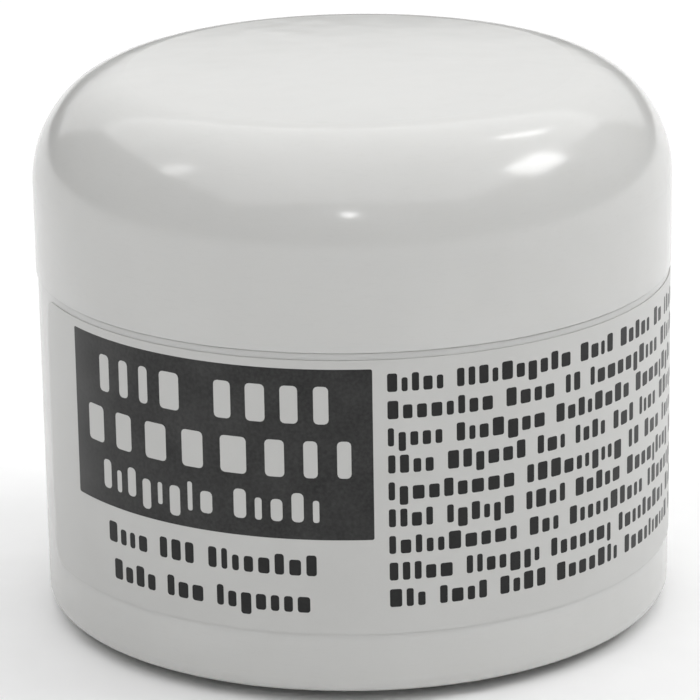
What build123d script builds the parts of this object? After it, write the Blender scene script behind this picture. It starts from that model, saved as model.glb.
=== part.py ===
from build123d import *

import math
import os

# A small double-wall jar with a domed screw cap. Millimetres, +Z up, and the origin at the
# centre of the base, on the surface that the jar stands on. The label's middle faces -Y.

# Outside of the closed jar
TOTAL_HEIGHT = 32.4
BODY_RADIUS = 18.4
CAP_RADIUS = 18.5
RIM_Z = 20.6
SEAM_ROUNDING = 0.05
CAP_EDGE_Z = 20.63

# Outer jar: a straight cup that stands on a ring
BODY_WALL = 1.2
BASE_THICKNESS = 1.4
BASE_RECESS = 0.6
FOOT_OUTER_RADIUS = 14.1
FOOT_INNER_RADIUS = 12.6
UNDERSIDE_SLOPE = 10
BASE_CORNER_RADIUS = 0.9
INNER_CORNER_RADIUS = 1.2
FOOT_ROUNDING = 0.3

# Inner cup: a 33 mm finish of 4.233 mm pitch (six turns to the inch), on a round-bottomed bowl
NECK_ROOT_RADIUS = 14.85
NECK_INNER_RADIUS = 13.7
NECK_TOP_Z = 27.8
NECK_EDGE_ROUNDING = 0.35
FLANGE_RADIUS = 17.6
FLANGE_THICKNESS = 1.2
BOWL_BRIM_Z = 19.7
BOWL_DEPTH = 7.4
BOWL_WALL = 1.1

# Thread: one start, right-handed. The ridge is a trapezoid that narrows towards its crest.
PITCH = 25.4 / 6
THREAD_DEPTH = 1.2
RIDGE_ROOT_HALF_WIDTH = 0.85
RIDGE_CREST_HALF_WIDTH = 0.45
RIDGE_ROOTING = 0.15
NECK_THREAD_START_Z = 21.75
NECK_THREAD_TURNS = 1.0
NECK_THREAD_START_ANGLE = 215
CAP_THREAD_START_Z = 21.95
CAP_THREAD_TURNS = 0.82
FLANK_CLEARANCE = 0.12

# Cap dome: the shoulder is a quarter of an ellipse, and a shallow arc closes the top
DOME_WALL = 1.0
SHOULDER_REACH = 5.8
SHOULDER_RISE = 6.3
DOME_SLOPE = 3
SNAP_BEAD_RADIUS = 0.25
SNAP_BEAD_Z = 21.2

# Cap insert: the threaded cap inside the dome
INSERT_THREAD_RADIUS = 16.35
INSERT_EDGE_Z = 21.0
INSERT_TOP_Z = 29.5
INSERT_SHOULDER_Z = 26.4
INSERT_DOME_GAP = 0.35
INSERT_FLANGE_Z = 21.6
INSERT_FLANGE_THICKNESS = 0.8
RIB_COUNT = 12
RIB_WIDTH = 0.8
RIB_HEIGHT = 1.6
RIB_ROOTING = 0.3

# Cap liner: a foam disc that seals on the neck
LINER_RADIUS = 15.25
LINER_THICKNESS = 0.9
LINER_RECESS_RADIUS = 15.3

# Label: paper wrapped part of the way round, from the first angle to the second
LABEL_BOTTOM_Z = 4.3
LABEL_TOP_Z = 20.2
LABEL_THICKNESS = 0.08
LABEL_START_ANGLE = -162
LABEL_END_ANGLE = 35

# Clearance of a piece that sits snugly inside another
SNUG_FIT = 0.02


def nearest_corner(sketch, r, z):
    """The corner of a half section that lies nearest to the radius r and the height z."""
    return sketch.vertices().sort_by_distance((r, z, 0))[0]


def domed_plug(radius, reach, rise, bottom, top):
    """A solid of revolution with a straight side, an elliptical shoulder and a shallow dome."""
    slope = math.radians(DOME_SLOPE)
    join = math.atan(rise / (reach * math.tan(slope)))
    join_radius = radius - reach + reach * math.cos(join)
    dome_rise = join_radius * math.tan(slope / 2)
    shoulder_z = top - dome_rise - rise * math.sin(join)
    with BuildPart() as plug:
        with BuildSketch(Plane.XZ):
            with BuildLine():
                Polyline((0, top), (0, bottom), (radius, bottom), (radius, shoulder_z))
                shoulder = EllipticalCenterArc(
                    (radius - reach, shoulder_z), reach, rise, 0, arc_size=math.degrees(join)
                )
                TangentArc(shoulder @ 1, (0, top), tangent=shoulder % 1)
            make_face()
        revolve(axis=Axis.Z)
    return plug.part


def thread_ridge(root_radius, out, start_angle, start_z, turns):
    """One ridge along its helix, with both ends rounded. It points outwards where out is 1, and
    inwards where out is -1."""
    rooted = (-RIDGE_ROOTING, RIDGE_ROOT_HALF_WIDTH)
    root = (0, RIDGE_ROOT_HALF_WIDTH)
    crest = (THREAD_DEPTH, RIDGE_CREST_HALF_WIDTH)
    with BuildPart() as ridge:
        with BuildLine(Plane.XY.offset(start_z)) as path:
            Helix(PITCH, PITCH * turns, root_radius)
        helix = path.line
        for position in (0, 1):
            end = helix @ position
            across = Vector(end.X, end.Y, 0).normalized() * out
            with BuildSketch(Plane(end, x_dir=across, z_dir=helix % position)):
                with BuildLine():
                    Polyline((-RIDGE_ROOTING, 0), (THREAD_DEPTH, 0), crest, root, rooted, close=True)
                make_face()
            revolve(axis=Axis(end, across))
        beginning = helix @ 0
        across = Vector(beginning.X, beginning.Y, 0).normalized() * out
        with BuildSketch(Plane(beginning, x_dir=across, z_dir=helix % 0)):
            with BuildLine():
                upper = Polyline(rooted, root, crest, (THREAD_DEPTH, 0))
                mirror(upper, about=Plane.XZ)
                Line(rooted, (-RIDGE_ROOTING, -RIDGE_ROOT_HALF_WIDTH))
            make_face()
        sweep(path=helix, is_frenet=True)
    return ridge.part.rotate(Axis.Z, start_angle)


# The outer jar. Its underside slopes up from the foot ring to the rounded corner, and its rim
# has a step inside, where the inner cup's flange sits.
flange_bottom_z = RIM_Z - FLANGE_THICKNESS
inside_radius = BODY_RADIUS - BODY_WALL
floor_z = BASE_RECESS + BASE_THICKNESS
corner_z = (BODY_RADIUS - FOOT_OUTER_RADIUS) * math.tan(math.radians(UNDERSIDE_SLOPE))

with BuildPart() as outer_jar:
    with BuildSketch(Plane.XZ) as jar_section:
        with BuildLine():
            Polyline(
                (0, BASE_RECESS),
                (FOOT_INNER_RADIUS - BASE_RECESS, BASE_RECESS),
                (FOOT_INNER_RADIUS, 0),
                (FOOT_OUTER_RADIUS, 0),
                (BODY_RADIUS, corner_z),
                (BODY_RADIUS, RIM_Z),
                (FLANGE_RADIUS, RIM_Z),
                (FLANGE_RADIUS, flange_bottom_z),
                (inside_radius, flange_bottom_z),
                (inside_radius, floor_z),
                (0, floor_z),
                close=True,
            )
        make_face()
        fillet(nearest_corner(jar_section, BODY_RADIUS, corner_z), BASE_CORNER_RADIUS)
        fillet(nearest_corner(jar_section, inside_radius, floor_z), INNER_CORNER_RADIUS)
        fillet(nearest_corner(jar_section, BODY_RADIUS, RIM_Z), SEAM_ROUNDING)
        fillet(nearest_corner(jar_section, FOOT_OUTER_RADIUS, 0), FOOT_ROUNDING)
    revolve(axis=Axis.Z)

# The inner cup. The bowl is half an ellipsoid that meets the neck's bore tangentially, and it
# hangs from the flange inside the outer jar, with air between the two walls.
neck_thread = thread_ridge(
    NECK_ROOT_RADIUS, 1, NECK_THREAD_START_ANGLE, NECK_THREAD_START_Z, NECK_THREAD_TURNS
)

with BuildPart() as inner_cup:
    with BuildSketch(Plane.XZ) as cup_section:
        with BuildLine():
            Polyline(
                (0, BOWL_BRIM_Z),
                (0, NECK_TOP_Z),
                (NECK_ROOT_RADIUS, NECK_TOP_Z),
                (NECK_ROOT_RADIUS, RIM_Z),
                (FLANGE_RADIUS, RIM_Z),
                (FLANGE_RADIUS, flange_bottom_z),
                (NECK_ROOT_RADIUS, flange_bottom_z),
                (NECK_ROOT_RADIUS, BOWL_BRIM_Z - BOWL_WALL),
                (0, BOWL_BRIM_Z - BOWL_WALL),
                close=True,
            )
        make_face()
        with BuildLine():
            outer_bowl = EllipticalCenterArc(
                (0, BOWL_BRIM_Z - BOWL_WALL), NECK_ROOT_RADIUS, BOWL_DEPTH, -90, arc_size=90
            )
            Polyline(outer_bowl @ 1, (0, BOWL_BRIM_Z - BOWL_WALL), outer_bowl @ 0)
        make_face()
        with BuildLine():
            inner_bowl = EllipticalCenterArc(
                (0, BOWL_BRIM_Z), NECK_INNER_RADIUS, BOWL_DEPTH, -90, arc_size=90
            )
            Polyline(inner_bowl @ 1, (NECK_INNER_RADIUS, NECK_TOP_Z), (0, NECK_TOP_Z), inner_bowl @ 0)
        make_face(mode=Mode.SUBTRACT)
        fillet(nearest_corner(cup_section, NECK_ROOT_RADIUS, NECK_TOP_Z), NECK_EDGE_ROUNDING)
        fillet(nearest_corner(cup_section, NECK_INNER_RADIUS, NECK_TOP_Z), NECK_EDGE_ROUNDING)
    revolve(axis=Axis.Z)
    add(neck_thread)

# The compound fills the bowl to its brim.
with BuildPart() as compound:
    with BuildSketch(Plane.XZ):
        with BuildLine():
            paste_bowl = EllipticalCenterArc(
                (0, BOWL_BRIM_Z),
                NECK_INNER_RADIUS - SNUG_FIT,
                BOWL_DEPTH - SNUG_FIT,
                -90,
                arc_size=90,
            )
            Polyline(paste_bowl @ 1, (0, BOWL_BRIM_Z), paste_bowl @ 0)
        make_face()
    revolve(axis=Axis.Z)

# The cap dome is hollow. A small bead round its inside holds the insert's flange up.
dome_inside_radius = CAP_RADIUS - DOME_WALL
dome_inside_reach = SHOULDER_REACH - DOME_WALL
dome_inside_rise = SHOULDER_RISE - DOME_WALL
dome_inside_top = TOTAL_HEIGHT - DOME_WALL
dome_outside = domed_plug(CAP_RADIUS, SHOULDER_REACH, SHOULDER_RISE, CAP_EDGE_Z, TOTAL_HEIGHT)
dome_inside = domed_plug(
    dome_inside_radius, dome_inside_reach, dome_inside_rise, CAP_EDGE_Z, dome_inside_top
)

with BuildPart() as cap_dome:
    add(dome_outside)
    add(dome_inside, mode=Mode.SUBTRACT)
    rim_edges = cap_dome.edges().group_by(Axis.Z)[0]
    fillet(rim_edges.sort_by(SortBy.RADIUS)[-1], SEAM_ROUNDING)
    with BuildSketch(Plane.XZ):
        with Locations((dome_inside_radius, SNAP_BEAD_Z)):
            Circle(SNAP_BEAD_RADIUS)
    revolve(axis=Axis.Z)

# The cap insert follows the inside of the dome at a small distance, with a flat top. Its flange
# rests on the dome's bead, and the ribs above the flange centre it. The thread's ridge runs
# below the neck's ridge, with a little clearance between their flanks.
ridge_narrowing = (RIDGE_ROOT_HALF_WIDTH - RIDGE_CREST_HALF_WIDTH) / THREAD_DEPTH
crest_gap = INSERT_THREAD_RADIUS - THREAD_DEPTH - NECK_ROOT_RADIUS
half_widths = RIDGE_ROOT_HALF_WIDTH + RIDGE_CREST_HALF_WIDTH - ridge_narrowing * crest_gap
ridge_below_ridge = half_widths + FLANK_CLEARANCE
turns_past_start = (CAP_THREAD_START_Z + ridge_below_ridge - NECK_THREAD_START_Z) / PITCH
cap_thread = thread_ridge(
    INSERT_THREAD_RADIUS,
    -1,
    NECK_THREAD_START_ANGLE + 360 * turns_past_start,
    CAP_THREAD_START_Z,
    CAP_THREAD_TURNS,
)
insert_outside = domed_plug(
    dome_inside_radius - INSERT_DOME_GAP,
    dome_inside_reach - INSERT_DOME_GAP,
    dome_inside_rise - INSERT_DOME_GAP,
    INSERT_EDGE_Z,
    dome_inside_top - INSERT_DOME_GAP,
)
liner_top_z = NECK_TOP_Z + LINER_THICKNESS
flange_top_z = INSERT_FLANGE_Z + INSERT_FLANGE_THICKNESS
snug_radius = dome_inside_radius - SNUG_FIT
rib_depth = snug_radius - INSERT_THREAD_RADIUS - RIB_ROOTING

with BuildPart() as cap_insert:
    add(insert_outside)
    split(bisect_by=Plane.XY.offset(INSERT_TOP_Z), keep=Keep.BOTTOM)
    with BuildSketch(Plane.XZ):
        with BuildLine():
            Polyline(
                (0, INSERT_EDGE_Z),
                (INSERT_THREAD_RADIUS, INSERT_EDGE_Z),
                (INSERT_THREAD_RADIUS, INSERT_SHOULDER_Z),
                (LINER_RECESS_RADIUS, NECK_TOP_Z),
                (LINER_RECESS_RADIUS, liner_top_z),
                (0, liner_top_z),
                close=True,
            )
        make_face()
    revolve(axis=Axis.Z, mode=Mode.SUBTRACT)
    with BuildSketch(Plane.XY.offset(INSERT_FLANGE_Z)):
        Circle(snug_radius)
        Circle(INSERT_THREAD_RADIUS + RIB_ROOTING, mode=Mode.SUBTRACT)
    extrude(amount=INSERT_FLANGE_THICKNESS)
    with BuildSketch(Plane.XY.offset(flange_top_z)):
        with PolarLocations(INSERT_THREAD_RADIUS + RIB_ROOTING, RIB_COUNT):
            Rectangle(rib_depth, RIB_WIDTH, align=(Align.MIN, Align.CENTER))
    extrude(amount=RIB_HEIGHT)
    add(cap_thread)

# The liner is a disc in the recess of the insert.
with BuildPart() as cap_liner:
    with BuildSketch(Plane.XY.offset(NECK_TOP_Z)):
        Circle(LINER_RADIUS)
    extrude(amount=LINER_THICKNESS)

# The label is a thin band of paper on the outer jar.
label_start = math.radians(LABEL_START_ANGLE)
label_plane = Plane(
    (0, 0, 0),
    x_dir=(math.cos(label_start), math.sin(label_start), 0),
    z_dir=(math.sin(label_start), -math.cos(label_start), 0),
)

with BuildPart() as label:
    with BuildSketch(label_plane):
        with Locations((BODY_RADIUS, LABEL_BOTTOM_Z)):
            Rectangle(
                LABEL_THICKNESS,
                LABEL_TOP_Z - LABEL_BOTTOM_Z,
                align=(Align.MIN, Align.MIN),
            )
    revolve(axis=Axis.Z, revolution_arc=LABEL_END_ANGLE - LABEL_START_ANGLE)

outer_jar.part.label = "outer_jar"
inner_cup.part.label = "inner_cup"
compound.part.label = "compound"
cap_dome.part.label = "cap_dome"
cap_insert.part.label = "cap_insert"
cap_liner.part.label = "cap_liner"
label.part.label = "label"

os.makedirs("parts", exist_ok=True)
export_step(outer_jar.part, "parts/outer_jar.step")
export_step(inner_cup.part, "parts/inner_cup.step")
export_step(compound.part, "parts/compound.step")
export_step(cap_dome.part, "parts/cap_dome.step")
export_step(cap_insert.part, "parts/cap_insert.step")
export_step(cap_liner.part, "parts/cap_liner.step")
export_step(label.part, "parts/label.step")
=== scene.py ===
import math
import random

import bpy
from mathutils import Euler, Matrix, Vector
from mathutils.geometry import delaunay_2d_cdt


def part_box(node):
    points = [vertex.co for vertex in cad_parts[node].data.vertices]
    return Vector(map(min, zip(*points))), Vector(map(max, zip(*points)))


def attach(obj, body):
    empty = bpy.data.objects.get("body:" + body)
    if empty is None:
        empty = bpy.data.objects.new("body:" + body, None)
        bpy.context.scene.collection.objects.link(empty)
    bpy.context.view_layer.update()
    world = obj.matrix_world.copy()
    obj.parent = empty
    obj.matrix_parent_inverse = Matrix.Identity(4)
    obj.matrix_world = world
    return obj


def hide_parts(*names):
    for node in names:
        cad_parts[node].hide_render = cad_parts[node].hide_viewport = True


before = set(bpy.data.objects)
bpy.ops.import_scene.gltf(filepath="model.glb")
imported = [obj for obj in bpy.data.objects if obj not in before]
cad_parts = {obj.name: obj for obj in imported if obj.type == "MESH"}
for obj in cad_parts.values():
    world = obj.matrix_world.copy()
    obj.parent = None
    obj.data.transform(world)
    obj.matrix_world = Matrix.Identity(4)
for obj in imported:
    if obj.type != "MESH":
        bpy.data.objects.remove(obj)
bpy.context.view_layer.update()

# A small white plastic jar of heat sink compound with a domed screw cap. Metres, +Z up, and the
# origin at the centre of the base. The camera stands on the -Y side, and the label reaches
# further round to its right than to its left.

MM = 0.001

# ---------------------------------------------------------------- sizes from the frame

_, jar_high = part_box("outer_jar")
_, dome_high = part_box("cap_dome")
label_low, label_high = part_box("label")
paste_low, paste_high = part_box("compound")

JAR_RADIUS = jar_high.x
TOTAL_HEIGHT = dome_high.z
PASTE_RADIUS = paste_high.x
PASTE_TOP = paste_high.z
PASTE_DEPTH = paste_high.z - paste_low.z
LABEL_BOTTOM = label_low.z
LABEL_TOP = label_high.z


# ---------------------------------------------------------------- material helpers

class Look:
    """A Principled material and short ways to feed its sockets from procedural nodes."""

    def __init__(self, name, **inputs):
        self.material = bpy.data.materials.new(name)
        self.material.use_nodes = True
        self.nodes = self.material.node_tree.nodes
        self.links = self.material.node_tree.links
        self.shader = self.nodes["Principled BSDF"]
        self.place = self.nodes.new("ShaderNodeTexCoord").outputs["Object"]
        for socket, value in inputs.items():
            self.shader.inputs[socket.replace("_", " ")].default_value = value

    def stretched(self, scale):
        """Object coordinates multiplied by a vector, for a pattern that runs one way."""
        mapping = self.nodes.new("ShaderNodeMapping")
        mapping.inputs["Scale"].default_value = scale
        self.links.new(self.place, mapping.inputs["Vector"])
        return mapping.outputs["Vector"]

    def noise(self, size, detail, place=None, distortion=0.0):
        """Noise whose lumps are about the given size in metres."""
        node = self.nodes.new("ShaderNodeTexNoise")
        node.inputs["Scale"].default_value = 1 / size
        node.inputs["Detail"].default_value = detail
        node.inputs["Distortion"].default_value = distortion
        self.links.new(place or self.place, node.inputs["Vector"])
        return node.outputs["Fac"]

    def spread(self, value, low, high, start=0.3, end=0.7):
        """Maps start to end, the span where most noise lies, onto low to high."""
        node = self.nodes.new("ShaderNodeMapRange")
        node.inputs["From Min"].default_value = start
        node.inputs["From Max"].default_value = end
        node.inputs["To Min"].default_value = low
        node.inputs["To Max"].default_value = high
        self.links.new(value, node.inputs["Value"])
        return node.outputs["Result"]

    def blend(self, share, first, second):
        """A colour between two colours."""
        node = self.nodes.new("ShaderNodeMix")
        node.data_type = "RGBA"
        self.links.new(share, node.inputs[0])
        node.inputs[6].default_value = (*first, 1)
        node.inputs[7].default_value = (*second, 1)
        return node.outputs[2]

    def add(self, first, second, share):
        """first + share * second"""
        node = self.nodes.new("ShaderNodeMath")
        node.operation = "MULTIPLY_ADD"
        self.links.new(second, node.inputs[0])
        node.inputs[1].default_value = share
        self.links.new(first, node.inputs[2])
        return node.outputs[0]

    def feed(self, socket, value):
        """Links a value to one of the shader's sockets."""
        self.links.new(value, self.shader.inputs[socket])

    def relief(self, height, depth):
        """Bump of the given depth in metres."""
        node = self.nodes.new("ShaderNodeBump")
        node.inputs["Distance"].default_value = depth
        self.links.new(height, node.inputs["Height"])
        self.feed("Normal", node.outputs["Normal"])


# ---------------------------------------------------------------- materials

def moulded_plastic(name, light, dark, gloss, peel):
    """Glossy polypropylene: slightly cloudy, with faint flow marks, a soft orange peel, and the
    fine scuffs that come from turning the cap in the hand."""
    look = Look(name, IOR=1.49, Subsurface_Weight=0.25, Subsurface_Scale=0.0015)
    look.shader.inputs["Subsurface Radius"].default_value = (1.0, 0.95, 0.9)
    cloud = look.noise(14 * MM, detail=3.0, distortion=0.6)
    scuff = look.noise(0.9 * MM, detail=3.0, place=look.stretched((1, 1, 9)), distortion=0.3)
    scuff = look.spread(scuff, 0, 1, 0.56, 0.72)
    tone = look.add(look.spread(cloud, 0, 1), scuff, -0.35)
    look.feed("Base Color", look.blend(tone, dark, light))
    handling = look.noise(3.5 * MM, detail=5.0)
    flow = look.noise(1.2 * MM, detail=3.0, place=look.stretched((1, 1, 0.12)))
    rough = look.add(look.spread(handling, gloss, gloss + 0.07), flow, 0.05)
    look.feed("Roughness", look.add(rough, scuff, 0.04))
    wave = look.noise(2.6 * MM, detail=1.0)
    look.relief(look.add(wave, flow, 0.12), peel)
    return look.material


def label_paper(name):
    """Coated label paper: white, a little less glossy than the jar, with a fine fibre grain."""
    look = Look(name, IOR=1.45, Coat_Weight=0.12, Coat_Roughness=0.2)
    fibre = look.noise(0.12 * MM, detail=4.0, place=look.stretched((1, 1, 2.5)))
    cloud = look.noise(6 * MM, detail=3.0)
    tone = look.add(look.spread(cloud, 0, 0.6), fibre, 0.5)
    look.feed("Base Color", look.blend(tone, (0.60, 0.60, 0.585), (0.65, 0.65, 0.635)))
    look.feed("Roughness", look.spread(fibre, 0.32, 0.46))
    look.relief(fibre, 0.004 * MM)
    return look.material


def label_ink(name, dark, light, speckle, patch):
    """Printed ink: a dense colour with small pinholes and a slow change of density."""
    look = Look(name, Specular_IOR_Level=0.28, Coat_Weight=0.05, Coat_Roughness=0.2)
    grain = look.noise(speckle, detail=5.0)
    cloud = look.noise(patch, detail=3.0)
    tone = look.add(look.spread(grain, 0, 0.5, 0.35, 0.75), look.spread(cloud, 0, 1), 0.5)
    look.feed("Base Color", look.blend(tone, dark, light))
    look.feed("Roughness", look.spread(grain, 0.3, 0.44))
    look.relief(grain, 0.003 * MM)
    return look.material


def foam(name):
    """The liner's closed-cell foam: tiny pits in an off-white sheet."""
    look = Look(name, IOR=1.45)
    cells = look.nodes.new("ShaderNodeTexVoronoi")
    cells.inputs["Scale"].default_value = 1 / (0.18 * MM)
    look.links.new(look.place, cells.inputs["Vector"])
    pit = cells.outputs["Distance"]
    tone = look.spread(look.noise(3 * MM, detail=4.0), 0, 1)
    look.feed("Base Color", look.blend(tone, (0.82, 0.82, 0.79), (0.90, 0.90, 0.88)))
    look.feed("Roughness", look.spread(pit, 0.55, 0.8, 0.0, 0.8))
    look.relief(pit, 0.02 * MM)
    return look.material


def thermal_paste(name):
    """Thick white paste with a wet shine and fine spatula streaks."""
    look = Look(name, IOR=1.42, Subsurface_Weight=0.3, Subsurface_Scale=0.0012)
    look.shader.inputs["Subsurface Radius"].default_value = (1.0, 0.97, 0.92)
    cloud = look.noise(2.2 * MM, detail=4.0, distortion=1.2)
    streak = look.noise(0.35 * MM, detail=4.0, distortion=2.0)
    tone = look.spread(cloud, 0, 1)
    look.feed("Base Color", look.blend(tone, (0.68, 0.68, 0.67), (0.76, 0.76, 0.75)))
    look.feed("Roughness", look.spread(streak, 0.26, 0.42))
    look.relief(look.add(cloud, streak, 0.4), 0.05 * MM)
    return look.material


def studio_floor(name):
    """Pale, matt and very slightly mottled."""
    look = Look(name, Roughness=0.8)
    tone = look.spread(look.noise(4 * MM, detail=3.0), 0, 1)
    look.feed("Base Color", look.blend(tone, (0.93, 0.93, 0.93), (0.95, 0.95, 0.95)))
    return look.material


# Colours, then the lowest roughness and the depth of the orange peel. The hidden faces of the cup
# and the insert are less polished.
WHITE, WHITE_DIM = (0.69, 0.69, 0.675), (0.655, 0.655, 0.64)
CAD_LOOKS = {
    "outer_jar": moulded_plastic("jar_plastic", WHITE, WHITE_DIM, 0.15, 0.022 * MM),
    "cap_dome": moulded_plastic("dome_plastic", WHITE, WHITE_DIM, 0.09, 0.022 * MM),
    "inner_cup": moulded_plastic("cup_plastic", WHITE, WHITE_DIM, 0.24, 0.016 * MM),
    "cap_insert": moulded_plastic("insert_plastic", WHITE, WHITE_DIM, 0.28, 0.016 * MM),
    "cap_liner": foam("liner_foam"),
}
for node, material in CAD_LOOKS.items():
    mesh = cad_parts[node].data
    mesh.materials.clear()
    mesh.materials.append(material)


# ---------------------------------------------------------------- the label

# The print is laid out flat, in millimetres: s runs along the label to the viewer's right from
# the middle of the front, and z is the height above the base. Letters are plain rounded blocks.

LABEL_FACE = JAR_RADIUS + 0.05 * MM
LABEL_BACK = JAR_RADIUS + 0.01 * MM
LABEL_START, LABEL_END = -72, 125  # degrees round the jar from the middle of the front
LABEL_CORNER = 1.3
COLUMN_STEP = 1.0  # degrees between the cuts that bend the sheet round
COLUMN_OVERHANG = 1
MERGE_DISTANCE = 1e-5
PANEL = (-18.85, 0.9, 9.85, 19.7)  # left, right, foot, head
PANEL_LINES = (
    # left, right, foot, height of a capital, covered share, blocks in each group, mixed case
    (-16.3, -1.5, 16.56, 2.16, 0.52, (4, 4), False),
    (-17.5, -0.3, 13.44, 2.14, 0.52, (8,), False),
    (-16.2, -2.1, 10.85, 1.70, 0.52, (8, 5), True),
)
UNDER_LINES = (
    (-15.9, -2.3, 7.72, 1.22, 0.66, (4, 3, 8), True),
    (-15.5, -2.7, 5.55, 1.22, 0.66, (4, 3, 7), True),
)
TEXT_LEFT, TEXT_RIGHT, LAST_LINE_RIGHT = 1.7, 37.4, 29
TEXT_TOP_BASELINE, TEXT_PITCH, TEXT_LINES = 18.36, 1.5625, 9
TEXT_CAPITAL, TEXT_LETTER = 1.05, 0.74
X_HEIGHT, DESCENT = 0.76, 0.28
TEXT_SHARE = 0.68
PANEL_CORNER, PANEL_LETTER_CORNER, UNDER_CORNER, TEXT_CORNER = 0.12, 0.25, 0.16, 0.12
CORNER_LIMIT = 0.4
BLOCK_WIDTHS = (0.75, 1.25)  # narrowest and widest block, against the mean letter
TALL_CHANCE, DESCENDING_CHANCE = 0.26, 0.1
GROUP_SPACE = 0.75
GROUP_BLOCKS = (2, 10)
LEAST_ROOM = 3  # letters; a shorter rest of a line stays empty
PRINT_SEED = 41


def rounded_box(left, right, foot, head, corner, steps=3):
    """Outline of a rectangle whose rounded corners take up to CORNER_LIMIT of a side, in order."""
    corner = min(corner, CORNER_LIMIT * (right - left), CORNER_LIMIT * (head - foot))
    points = []
    for centre_s, centre_z, turn in (
        (right - corner, foot + corner, -90),
        (right - corner, head - corner, 0),
        (left + corner, head - corner, 90),
        (left + corner, foot + corner, 180),
    ):
        for step in range(steps + 1):
            angle = math.radians(turn + 90 * step / steps)
            points.append((centre_s + corner * math.cos(angle), centre_z + corner * math.sin(angle)))
    return points


def random_groups(draw, length, letter):
    """Numbers of blocks in groups like words that fill about the given length."""
    groups = []
    while length > LEAST_ROOM * letter:
        count = min(draw.randint(*GROUP_BLOCKS), round(length / letter))
        groups.append(count)
        length -= (count + GROUP_SPACE) * letter
    return groups


def line_of_blocks(draw, left, right, foot, capital, share, groups, mixed):
    """One justified line of blocks that cover the given share of its length. In mixed case only
    the first block of a group is always tall."""
    widths = [[draw.uniform(*BLOCK_WIDTHS) for _ in range(count)] for count in groups]
    spaces = GROUP_SPACE * (len(groups) - 1)
    letter = (right - left) / (sum(map(sum, widths)) + spaces - (1 - share))
    blocks = []
    at = left
    for group in widths:
        for index, width in enumerate(group):
            low, high = foot, foot + capital
            if mixed and index > 0:
                kind = draw.random()
                high = foot + capital * (1.0 if kind < TALL_CHANCE else X_HEIGHT)
                low = foot - (capital * DESCENT if kind > 1 - DESCENDING_CHANCE else 0.0)
            gap = (1 - share) * letter
            blocks.append((at, at + width * letter - gap, low, high))
            at += width * letter
        at += GROUP_SPACE * letter
    return blocks


def label_print():
    """(outline, kind) of every printed shape. A letter on the dark panel shows bare paper."""
    draw = random.Random(PRINT_SEED)
    shapes = [(rounded_box(*PANEL, PANEL_CORNER), "panel")]
    for line in PANEL_LINES:
        for block in line_of_blocks(draw, *line):
            shapes.append((rounded_box(*block, PANEL_LETTER_CORNER), "paper"))
    for line in UNDER_LINES:
        for block in line_of_blocks(draw, *line):
            shapes.append((rounded_box(*block, UNDER_CORNER), "text"))
    for row in range(TEXT_LINES):
        foot = TEXT_TOP_BASELINE - row * TEXT_PITCH
        right = TEXT_RIGHT if row < TEXT_LINES - 1 else LAST_LINE_RIGHT
        groups = random_groups(draw, right - TEXT_LEFT, TEXT_LETTER)
        line = (TEXT_LEFT, right, foot, TEXT_CAPITAL, TEXT_SHARE, groups, True)
        for block in line_of_blocks(draw, *line):
            shapes.append((rounded_box(*block, TEXT_CORNER), "text"))
    return shapes


def on_the_jar(s, z, radius):
    """A flat print position, in millimetres, wrapped round the jar at a radius in metres."""
    angle = math.radians(-90) + s * MM / JAR_RADIUS
    return (radius * math.cos(angle), radius * math.sin(angle), z * MM)


def shade_round(mesh, curved):
    """Radial normals on the sheet's two faces, which are the first polygons, so that the narrow
    facets shade as a true cylinder. The edge of the sheet keeps its flat normals."""
    normals = []
    for index, polygon in enumerate(mesh.polygons):
        for corner in polygon.vertices:
            flat = Vector((polygon.normal.x, polygon.normal.y, 0))
            spot = Vector((mesh.vertices[corner].co.x, mesh.vertices[corner].co.y, 0))
            outward = spot.normalized() * (1 if flat.dot(spot) > 0 else -1)
            normals.append(outward if index < curved else polygon.normal.copy())
    mesh.polygons.foreach_set("use_smooth", [True] * len(mesh.polygons))
    mesh.normals_split_custom_set(normals)


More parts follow.
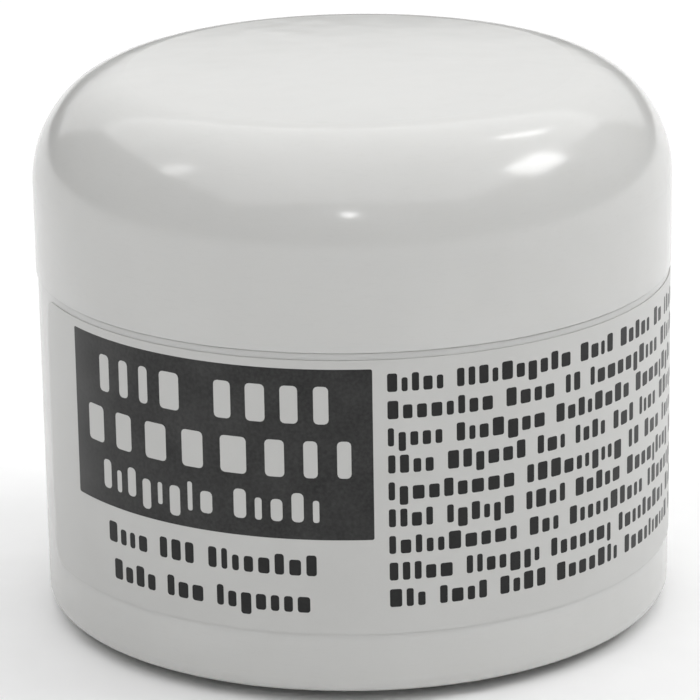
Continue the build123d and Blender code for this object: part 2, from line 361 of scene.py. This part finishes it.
def build_label():
    """A closed thin sheet round the jar, cut along every printed edge."""
    start, end = (math.radians(a) * JAR_RADIUS / MM for a in (LABEL_START, LABEL_END))
    foot, head = LABEL_BOTTOM / MM, LABEL_TOP / MM
    outline = rounded_box(start, end, foot, head, LABEL_CORNER, steps=8)  # larger, so smoother
    shapes = [(outline, "paper")] + label_print()
    points, faces, edges = [], [], []
    for corners, _ in shapes:
        faces.append(list(range(len(points), len(points) + len(corners))))
        points += [Vector(corner) for corner in corners]
    columns = round((LABEL_END - LABEL_START) / COLUMN_STEP)
    for column in range(1, columns):
        s = start + (end - start) * column / columns
        edges.append((len(points), len(points) + 1))
        points += [Vector((s, foot - COLUMN_OVERHANG)), Vector((s, head + COLUMN_OVERHANG))]
    # Type 1 leaves only the triangles inside some outline.
    flat, _, cells, _, _, owners = delaunay_2d_cdt(points, edges, faces, 1, MERGE_DISTANCE)
    used = sorted({corner for cell in cells for corner in cell})
    place = {corner: index for index, corner in enumerate(used)}
    count = len(used)
    vertices = [on_the_jar(*flat[corner], LABEL_FACE) for corner in used]
    vertices += [on_the_jar(*flat[corner], LABEL_BACK) for corner in used]
    kinds = {"paper": 0, "panel": 1, "text": 2}
    polygons, slots, sides = [], [], {}
    for cell, owner in zip(cells, owners):
        front = [place[corner] for corner in cell]
        polygons.append(front)
        slots.append(kinds[shapes[max(owner)][1]])  # the shape added last lies on top
        for first, second in zip(front, front[1:] + front[:1]):
            sides[(first, second)] = True
    fronts = len(polygons)
    for index in range(fronts):
        polygons.append([corner + count for corner in reversed(polygons[index])])
        slots.append(kinds["paper"])
    for first, second in sides:
        if (second, first) not in sides:
            polygons.append([second, first, first + count, second + count])
            slots.append(kinds["paper"])
    mesh = bpy.data.meshes.new("label_print")
    mesh.from_pydata(vertices, [], polygons)
    mesh.polygons.foreach_set("material_index", slots)
    mesh.materials.append(label_paper("label_paper"))
    mesh.materials.append(
        label_ink("label_panel", (0.012, 0.012, 0.012), (0.050, 0.050, 0.049), 0.22 * MM, 2.5 * MM)
    )
    mesh.materials.append(
        label_ink("label_text", (0.006, 0.006, 0.006), (0.016, 0.016, 0.016), 0.15 * MM, 1.2 * MM)
    )
    mesh.update()
    shade_round(mesh, 2 * fronts)
    piece = bpy.data.objects.new("label_print", mesh)
    bpy.context.collection.objects.link(piece)
    return piece


label = build_label()
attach(label, "jar")
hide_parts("label")


# ---------------------------------------------------------------- the compound

RINGS, SPOKES = 72, 144
SWIRL_DEPTH = 0.75 * MM
SWIRL_PITCH = 4.6 * MM
CURL_HEIGHT, CURL_RADIUS = 1.3 * MM, 2.2 * MM
LEAN_HEIGHT = 0.4 * MM
PASTE_DROP = 0.2 * MM
PASTE_BAND = 0.8 * MM
PASTE_MARGIN = 0.04 * MM


def paste_height(radius, angle):
    """Height of the paste's surface: a spatula's spiral furrow, with a curl left in the middle."""
    share = radius / PASTE_RADIUS
    # The furrow fades in over the middle quarter of the radius, and out again at the bowl's wall.
    fade = (1 - share**6) * min(1.0, share * 4)
    phase = angle + math.tau * radius / SWIRL_PITCH
    furrow = 0.5 + 0.5 * math.sin(phase + 0.5 * math.sin(phase))
    # How unevenly the furrow is pressed in on its way round.
    wander = 0.3 * math.sin(2 * angle + 1.3) + 0.2 * math.sin(3 * angle + share * 5)
    curl = CURL_HEIGHT * math.exp(-((radius / CURL_RADIUS) ** 2))
    lean = LEAN_HEIGHT * share * math.cos(angle - 0.8)
    depth = SWIRL_DEPTH * (1 + 0.4 * wander) * furrow * fade
    return PASTE_TOP - depth + curl + lean - PASTE_DROP


def build_paste():
    """A closed body: the swirled top, a narrow band at its edge, and the bowl's ellipsoid below."""
    vertices, polygons = [], []
    top_rim = PASTE_RADIUS - PASTE_MARGIN
    vertices.append((0, 0, paste_height(0, 0)))
    for ring in range(1, RINGS + 1):
        radius = top_rim * ring / RINGS
        for spoke in range(SPOKES):
            angle = math.tau * spoke / SPOKES
            height = paste_height(radius, angle)
            vertices.append((radius * math.cos(angle), radius * math.sin(angle), height))
    lower_rings = RINGS // 3
    first_turn = math.asin(PASTE_BAND / PASTE_DEPTH)
    for ring in range(lower_rings):
        turn = first_turn + (0.5 * math.pi - first_turn) * ring / lower_rings
        radius = top_rim * math.cos(turn)
        height = PASTE_TOP - PASTE_DEPTH * math.sin(turn)
        for spoke in range(SPOKES):
            angle = math.tau * spoke / SPOKES
            vertices.append((radius * math.cos(angle), radius * math.sin(angle), height))
    vertices.append((0, 0, PASTE_TOP - PASTE_DEPTH))
    rows = RINGS + lower_rings
    for spoke in range(SPOKES):
        following = (spoke + 1) % SPOKES
        polygons.append((0, 1 + spoke, 1 + following))
        for row in range(rows - 1):
            here, below = 1 + row * SPOKES, 1 + (row + 1) * SPOKES
            polygons.append((here + spoke, below + spoke, below + following, here + following))
        last = 1 + (rows - 1) * SPOKES
        polygons.append((len(vertices) - 1, last + following, last + spoke))
    mesh = bpy.data.meshes.new("paste_swirl")
    mesh.from_pydata(vertices, [], polygons)
    mesh.polygons.foreach_set("use_smooth", [True] * len(polygons))
    mesh.materials.append(thermal_paste("paste"))
    mesh.update()
    piece = bpy.data.objects.new("paste_swirl", mesh)
    bpy.context.collection.objects.link(piece)
    return piece


paste = build_paste()
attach(paste, "jar")
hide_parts("compound")


# ---------------------------------------------------------------- floor, light and camera

FLOOR_HALF = 3.0
floor_mesh = bpy.data.meshes.new("floor")
floor_mesh.from_pydata(
    [(x * FLOOR_HALF, y * FLOOR_HALF, 0) for x, y in ((-1, -1), (1, -1), (1, 1), (-1, 1))],
    [],
    [(0, 1, 2, 3)],
)
floor_mesh.materials.append(studio_floor("floor"))
floor = bpy.data.objects.new("floor", floor_mesh)
bpy.context.collection.objects.link(floor)

CENTRE = Vector((0, 0, TOTAL_HEIGHT / 2))


def direction(azimuth, elevation):
    """Unit vector towards a place round the object. Azimuth 0 is -Y and 90 is +X, in degrees."""
    a, e = math.radians(azimuth), math.radians(elevation)
    return Vector((math.sin(a) * math.cos(e), -math.cos(a) * math.cos(e), math.sin(e)))


def soft_light(name, azimuth, elevation, distance, width, height, power):
    """A rectangular lamp that faces the object's centre: degrees, metres and watts."""
    lamp = bpy.data.lights.new(name, "AREA")
    lamp.shape = "RECTANGLE"
    lamp.size = width
    lamp.size_y = height
    lamp.energy = power
    holder = bpy.data.objects.new(name, lamp)
    towards = direction(azimuth, elevation)
    holder.location = CENTRE + towards * distance
    holder.rotation_euler = towards.to_track_quat("Z", "Y").to_euler()
    bpy.context.collection.objects.link(holder)


# The ceiling gives most of the light, and the domed cap mirrors the rear screen on its top. The
# small lamps are there for their highlights on the cap's edge.
soft_light("ceiling", 0, 90, 1.0, 2.4, 2.4, 24)
soft_light("rear_screen", 180, 26, 1.0, 1.6, 0.6, 2.3)
soft_light("left_box", -87, 45, 0.7, 0.07, 0.12, 0.15)
soft_light("right_box", 89, 42, 0.7, 0.24, 0.16, 1.1)
soft_light("front_lamp", -1.5, 28.5, 0.6, 0.035, 0.026, 0.15)
soft_light("rear_strip", 131, 53, 0.7, 0.010, 0.13, 0.15)

WORLD_STRENGTH = 0.02
world = bpy.data.worlds.new("studio")
world.use_nodes = True
background = world.node_tree.nodes["Background"]
background.inputs["Color"].default_value = (1.0, 1.0, 0.99, 1)
background.inputs["Strength"].default_value = WORLD_STRENGTH
bpy.context.scene.world = world
bpy.context.scene.view_settings.view_transform = "Standard"

CAMERA_ELEVATION = 17.45
CAMERA_DISTANCE = 0.24
CAMERA_LENS, CAMERA_SENSOR = 210.3, 36  # millimetres
CAMERA_CLIP = 0.01
CAMERA_ROLL = -0.95
AIM = CENTRE + Vector((-0.30 * MM, 0, -1.28 * MM))

camera_data = bpy.data.cameras.new("camera")
camera_data.sensor_width = CAMERA_SENSOR
camera_data.lens = CAMERA_LENS
camera_data.clip_start = CAMERA_CLIP
camera = bpy.data.objects.new("camera", camera_data)
camera.location = CENTRE + direction(0, CAMERA_ELEVATION) * CAMERA_DISTANCE
facing = (camera.location - AIM).to_track_quat("Z", "Y")
roll = Euler((0, 0, math.radians(CAMERA_ROLL))).to_quaternion()
camera.rotation_euler = (facing @ roll).to_euler()
bpy.context.collection.objects.link(camera)
bpy.context.scene.camera = camera
